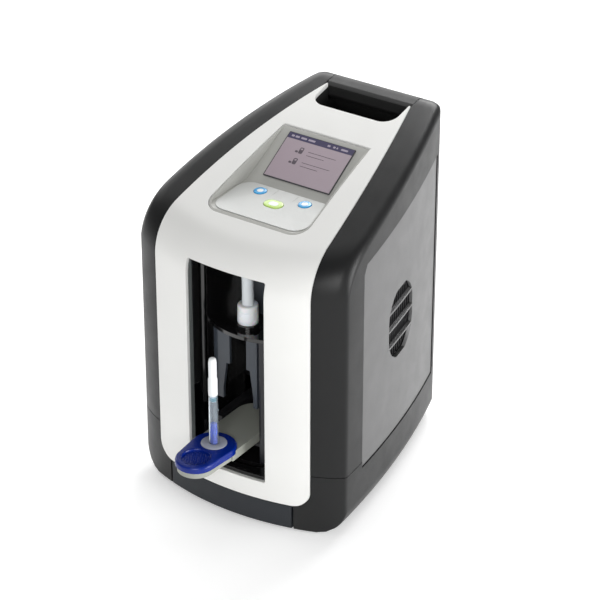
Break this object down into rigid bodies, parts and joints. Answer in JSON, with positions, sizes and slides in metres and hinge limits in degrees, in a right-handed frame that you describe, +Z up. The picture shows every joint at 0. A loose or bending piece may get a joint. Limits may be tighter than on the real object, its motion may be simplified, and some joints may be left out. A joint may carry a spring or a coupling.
{
  "type": "oral fluid test analyser",
  "caption": "Benchtop oral fluid test analyser with display and keys, front shutter opening, a test cassette with its collector, and a buffer cartridge on a lift.",
  "frame": {"origin": "bottom centre of the bounding box, on the table, with the cassette in its rest position standing out in front", "axes": "+Z up, -Y towards the user and out of the front opening, +X to the user's right, the side with the fan grille"},
  "size_m": [0.184, 0.263, 0.2746],
  "materials": {
    "panel_white": "fine satin moulding",
    "frame_grey": "satin",
    "cover_charcoal": "satin, fine moulded grain",
    "side_grey": "satin, fine moulded grain",
    "bumper_grey": "satin",
    "foot_rubber": "matt",
    "vent_black": "matt",
    "socket_black": "matt",
    "port_steel": "plated",
    "recess_black": "matt",
    "handle_grey": "soft matt",
    "tub_grey": "satin",
    "lcd_grey": "display",
    "lcd_window": "clear, anti-glare",
    "board_green": "solder mask",
    "membrane_grey": "fine film",
    "key_blue": "soft gloss",
    "key_green": "soft gloss",
    "well_black": "high gloss",
    "guide_slate": "satin",
    "post_dark": "satin",
    "shutter_black": "gloss",
    "steel": "ground",
    "cassette_grey": "satin",
    "grip_blue": "soft gloss",
    "washer_grey": "satin",
    "collector_clear": "clear",
    "collector_blue": "gloss",
    "collector_white": "matt, porous",
    "track_black": "satin",
    "aluminium": "brushed",
    "optics_black": "matt",
    "cartridge_white": "soft gloss",
    "cartridge_frost": "frosted",
    "brass": "machined",
    "motor_black": "satin",
    "fan_black": "satin"
  },
  "bodies": {
    "housing": {"base_tray": "cover_charcoal", "front_bumper": "bumper_grey", "rubber_feet": "foot_rubber", "front_panel": "panel_white", "opening_frame": "frame_grey", "sill_lip": "well_black", "side_cover_left": "cover_charcoal", "side_cover_right": "cover_charcoal", "side_panel_left": "side_grey", "side_panel_right": "side_grey", "vent_grille": "vent_black", "rear_panel": "cover_charcoal", "dc_inlet": "socket_black", "data_ports": "port_steel", "handle_well": "recess_black", "handle_bar": "handle_grey", "handle_core": "recess_black", "display_tub": "tub_grey", "lcd_module": "lcd_grey", "lcd_glass": "lcd_window", "display_board": "board_green", "keypad_membrane": "membrane_grey", "keypad_board": "board_green", "well_liner": "well_black", "well_shelf": "well_black", "collector_guide": "guide_slate", "guide_post": "post_dark", "shutter_pins": "steel", "cassette_track": "track_black", "heater_plate": "aluminium", "reader_optics": "optics_black", "guide_rods": "steel", "stepper_motor": "motor_black", "chassis": "aluminium", "main_board": "board_green", "power_board": "board_green", "fan_frame": "fan_black", "case_screws": "steel"},
    "left_key": {"button_left": "key_blue"},
    "right_key": {"button_right": "key_blue"},
    "ok_key": {"button_ok": "key_green"},
    "shutter": {"shutter": "shutter_black"},
    "cassette": {"cassette_body": "cassette_grey", "cassette_grip": "grip_blue", "collector_washer": "washer_grey", "collector_tube": "collector_clear", "collector_core": "collector_blue", "collector_tip": "collector_white"},
    "lift": {"lift_plate": "well_black", "lift_back": "guide_slate", "lift_nut": "brass"},
    "cartridge": {"cartridge_cup": "cartridge_white", "cartridge_neck": "cartridge_frost"},
    "lead_screw": {"lead_screw": "steel"},
    "fan": {"fan_rotor": "fan_black"}
  },
  "joints": [
    {"name": "left_press", "type": "slide", "parent": "housing", "child": "left_key", "axis": [0, 0, -1], "range_m": [0, 0.0008], "stiffness_N_per_m": 400},
    {"name": "right_press", "type": "slide", "parent": "housing", "child": "right_key", "axis": [0, 0, -1], "range_m": [0, 0.0008], "stiffness_N_per_m": 400},
    {"name": "ok_press", "type": "slide", "parent": "housing", "child": "ok_key", "axis": [0, 0, -1], "range_m": [0, 0.0008], "stiffness_N_per_m": 400},
    {"name": "shutter_turn", "type": "hinge", "parent": "housing", "child": "shutter", "pos_m": [0, -0.0085, 0.12], "axis": [0, 0, 1], "range_deg": [0, 76]},
    {"name": "cassette_slide", "type": "slide", "parent": "housing", "child": "cassette", "axis": [0, 1, 0], "range_m": [-0.03, 0.045]},
    {"name": "lift_slide", "type": "slide", "parent": "housing", "child": "lift", "axis": [0, 0, 1], "range_m": [-0.046, 0]},
    {"name": "cartridge_slide", "type": "slide", "parent": "lift", "child": "cartridge", "axis": [0, -1, 0], "range_m": [0, 0.055]},
    {"name": "screw_spin", "type": "hinge", "parent": "housing", "child": "lead_screw", "pos_m": [0, -0.0015, 0.14], "axis": [0, 0, 1], "range_deg": [-2071, 1]},
    {"name": "fan_spin", "type": "hinge", "parent": "housing", "child": "fan", "pos_m": [0.061, 0.0375, 0.137], "axis": [1, 0, 0], "continuous": true}
  ],
  "couplings": [
    {"joint": "screw_spin", "follows": "lift_slide", "rad_per_m": 785.4}
  ]
}
